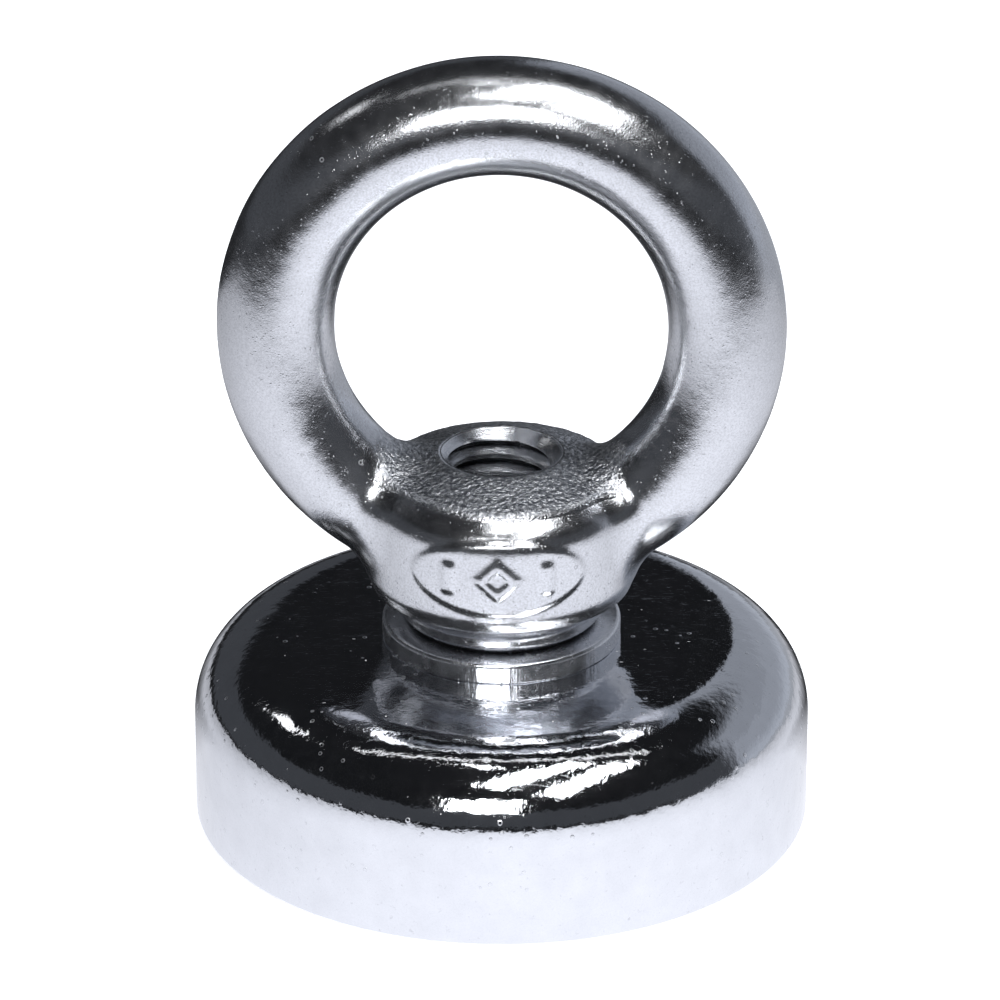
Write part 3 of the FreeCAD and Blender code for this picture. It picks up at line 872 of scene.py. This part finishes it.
# ---------------------------------------------------------------- studio: pale floor, soft lights
def stage_floor():
    size = 3.0
    me = bpy.data.meshes.new("floor")
    me.from_pydata([(-size, -size, 0), (size, -size, 0), (size, size, 0), (-size, size, 0)], [], [(0, 1, 2, 3)])
    ob = bpy.data.objects.new("floor", me)
    scene.collection.objects.link(ob)
    mat = bpy.data.materials.new("floor_paper")
    mat.use_nodes = True
    t = mat.node_tree
    t.nodes.clear()
    out = t.nodes.new("ShaderNodeOutputMaterial")
    diff = t.nodes.new("ShaderNodeBsdfDiffuse")
    diff.inputs["Color"].default_value = (0.90, 0.91, 0.93, 1)
    geo = t.nodes.new("ShaderNodeNewGeometry")

    def calc(op, a, b=None):
        n = t.nodes.new("ShaderNodeMath")
        n.operation = op
        for i, v in enumerate((a, b)):
            if isinstance(v, (int, float)):
                n.inputs[i].default_value = v
            elif v is not None:
                t.links.new(v, n.inputs[i])
        return n.outputs[0]

    def span(v, a, b, c, d):
        n = t.nodes.new("ShaderNodeMapRange")
        for k, w in (("From Min", a), ("From Max", b), ("To Min", c), ("To Max", d)):
            n.inputs[k].default_value = w
        t.links.new(v, n.inputs["Value"])
        return n.outputs[0]

    # the lit sheet of paper is wide and not deep; in reflections the room beyond it is dark
    wide = t.nodes.new("ShaderNodeMapping")
    wide.inputs["Scale"].default_value = (0.42, 1.0, 1.0)
    t.links.new(geo.outputs["Position"], wide.inputs["Vector"])
    far = t.nodes.new("ShaderNodeVectorMath")
    far.operation = "LENGTH"
    t.links.new(wide.outputs[0], far.inputs[0])
    near = t.nodes.new("ShaderNodeVectorMath")
    near.operation = "LENGTH"
    t.links.new(geo.outputs["Position"], near.inputs[0])
    sheet = span(far.outputs["Value"], 0.080, 0.098, 1.0, 0.0)
    sep = t.nodes.new("ShaderNodeSeparateXYZ")
    t.links.new(geo.outputs["Position"], sep.inputs[0])
    sheet = calc("MULTIPLY", sheet, span(sep.outputs[1], 0.064, 0.078, 1.0, 0.0))
    # painted light: in reflections the sheet is brighter close to the object, towards the front (-Y) and a little
    # towards the right, a pool of light from the lamps
    front = calc("DIVIDE", sep.outputs[1], near.outputs["Value"])
    right = calc("DIVIDE", sep.outputs[0], near.outputs["Value"])
    level = calc("ADD", calc("MULTIPLY", front, -0.25), calc("ADD", calc("MULTIPLY", right, 0.06), 0.75))
    level = calc("MULTIPLY", level, span(near.outputs["Value"], 0.022, 0.090, 1.27, 0.86))
    # the object's own shadow falls behind it
    shade = calc("MULTIPLY", span(calc("ABSOLUTE", sep.outputs[0]), 0.020, 0.036, 1.0, 0.0), span(sep.outputs[1], 0.004, 0.014, 0.0, 1.0))
    shade = calc("MULTIPLY", shade, span(sep.outputs[1], 0.040, 0.062, 1.0, 0.25))
    level = calc("MULTIPLY", level, calc("SUBTRACT", 1.0, calc("MULTIPLY", shade, 0.97)))
    level = calc("ADD", calc("MULTIPLY", calc("MULTIPLY", level, sheet), 0.985), 0.015)
    # off the sheet on the right, the floor is as grey as the wall over it
    beyond = calc("MULTIPLY", span(right, 0.12, 0.35, 0.0, 1.0), span(front, -0.30, 0.05, 0.0, 1.0))
    beyond = calc("MULTIPLY", beyond, calc("SUBTRACT", 1.0, sheet))
    level = calc("ADD", level, calc("MULTIPLY", beyond, 0.42))
    tone = t.nodes.new("ShaderNodeMix")
    tone.data_type = "RGBA"
    tone.inputs[6].default_value = (0.93, 0.97, 1.06, 1)
    tone.inputs[7].default_value = (0.955, 0.97, 1.04, 1)
    t.links.new(sheet, tone.inputs[0])
    emit = t.nodes.new("ShaderNodeEmission")
    t.links.new(tone.outputs[2], emit.inputs["Color"])
    t.links.new(level, emit.inputs["Strength"])
    path = t.nodes.new("ShaderNodeLightPath")
    mix = t.nodes.new("ShaderNodeMixShader")
    t.links.new(path.outputs["Is Glossy Ray"], mix.inputs[0])
    glow = t.nodes.new("ShaderNodeEmission")
    glow.inputs["Color"].default_value = (1, 1, 1, 1)
    glow.inputs["Strength"].default_value = 0.30
    both = t.nodes.new("ShaderNodeAddShader")
    t.links.new(diff.outputs[0], both.inputs[0])
    t.links.new(glow.outputs[0], both.inputs[1])
    t.links.new(both.outputs[0], mix.inputs[1])
    t.links.new(emit.outputs[0], mix.inputs[2])
    t.links.new(mix.outputs[0], out.inputs["Surface"])
    me.materials.append(mat)


def world():
    w = bpy.data.worlds.new("studio")
    scene.world = w
    w.use_nodes = True
    t = w.node_tree
    t.nodes.clear()
    out = t.nodes.new("ShaderNodeOutputWorld")
    path = t.nodes.new("ShaderNodeLightPath")
    coord = t.nodes.new("ShaderNodeTexCoord")
    sep = t.nodes.new("ShaderNodeSeparateXYZ")
    t.links.new(coord.outputs["Generated"], sep.inputs[0])

    def span(v, a, b, c, d):
        n = t.nodes.new("ShaderNodeMapRange")
        n.interpolation_type = "SMOOTHSTEP"
        for k, w in (("From Min", a), ("From Max", b), ("To Min", c), ("To Max", d)):
            n.inputs[k].default_value = w
        t.links.new(v, n.inputs["Value"])
        return n.outputs[0]

    def calc(op, a, b):
        n = t.nodes.new("ShaderNodeMath")
        n.operation = op
        for i, v in enumerate((a, b)):
            if isinstance(v, (int, float)):
                n.inputs[i].default_value = v
            else:
                t.links.new(v, n.inputs[i])
        return n.outputs[0]

    # a dark room: a grey wall behind on the right, charcoal low down elsewhere, nearly black above
    low = span(sep.outputs[2], 0.352, 0.388, 1.0, 0.0)
    wall = calc("MULTIPLY", span(sep.outputs[2], 0.54, 0.70, 1.0, 0.0), span(sep.outputs[2], 0.0, 0.22, 1.5, 1.0))
    behind_right = calc("MULTIPLY", span(sep.outputs[1], 0.02, 0.22, 0.0, 1.0), span(sep.outputs[0], 0.038, 0.085, 0.0, 1.0))
    level = calc("ADD", calc("MULTIPLY", calc("MULTIPLY", behind_right, wall), 0.30), calc("MULTIPLY", low, 0.048))
    level = calc("ADD", level, 0.010)
    dark = t.nodes.new("ShaderNodeMix")
    dark.data_type = "RGBA"
    dark.inputs[0].default_value = 0.0
    t.links.new(level, dark.inputs[0])
    dark.inputs[6].default_value = (0.0, 0.0, 0.0, 1)
    dark.inputs[7].default_value = (0.94, 1.0, 1.13, 1)
    bg_dark = t.nodes.new("ShaderNodeBackground")
    t.links.new(dark.outputs[2], bg_dark.inputs["Color"])
    bg_soft = t.nodes.new("ShaderNodeBackground")
    bg_soft.inputs["Color"].default_value = (0.93, 0.95, 1.0, 1)
    bg_soft.inputs["Strength"].default_value = 0.95
    bg_white = t.nodes.new("ShaderNodeBackground")
    bg_white.inputs["Color"].default_value = (1.0, 1.0, 1.0, 1)
    bg_white.inputs["Strength"].default_value = 1.0
    seen = t.nodes.new("ShaderNodeMixShader")
    t.links.new(path.outputs["Is Camera Ray"], seen.inputs[0])
    t.links.new(bg_soft.outputs[0], seen.inputs[1])
    t.links.new(bg_white.outputs[0], seen.inputs[2])
    mix = t.nodes.new("ShaderNodeMixShader")
    t.links.new(path.outputs["Is Glossy Ray"], mix.inputs[0])
    t.links.new(seen.outputs[0], mix.inputs[1])
    t.links.new(bg_dark.outputs[0], mix.inputs[2])
    t.links.new(mix.outputs[0], out.inputs["Surface"])


def softbox(name, azimuth, elevation, width_deg, height_deg, radiance, roll=0.0, distance=0.9, colour=(1.0, 1.0, 1.0)):
    """A square light seen from the object in a direction: azimuth 0 is the side that the eye faces, +X positive."""
    az, el = math.radians(azimuth), math.radians(elevation)
    d = Vector((math.sin(az) * math.cos(el), -math.cos(az) * math.cos(el), math.sin(el)))
    data = bpy.data.lights.new(name, "AREA")
    data.shape = "RECTANGLE"
    data.size = 2 * distance * math.tan(math.radians(width_deg / 2))
    data.size_y = 2 * distance * math.tan(math.radians(height_deg / 2))
    data.color = colour
    # an area light's power for a wanted radiance
    data.energy = radiance * math.pi * data.size * data.size_y
    ob = bpy.data.objects.new(name, data)
    ob.location = Vector((0, 0, 0.02)) + d * distance
    q = d.to_track_quat("Z", "Y")
    ob.rotation_euler = q.to_euler()
    if roll:
        ob.rotation_euler = (q.to_matrix() @ Matrix.Rotation(math.radians(roll), 3, "Z")).to_euler()
    ob.visible_camera = False
    scene.collection.objects.link(ob)
    return ob


stage_floor()
world()
softbox("key_low", -5, 28, 24, 17, 8.0)
softbox("key_high", 21, 70, 37, 10, 7.0, roll=40)
softbox("side_right", 43, 53, 40, 10, 7.0, roll=37)
softbox("over", 0, 96, 60, 3.0, 1.3)
softbox("over_left", -50, 84, 9, 4, 4.0)
softbox("left_patch", -119, 41, 13, 6, 1.7, roll=20)

scene.view_settings.view_transform = "Standard"
scene.view_settings.look = "None"
scene.view_settings.exposure = 0.0
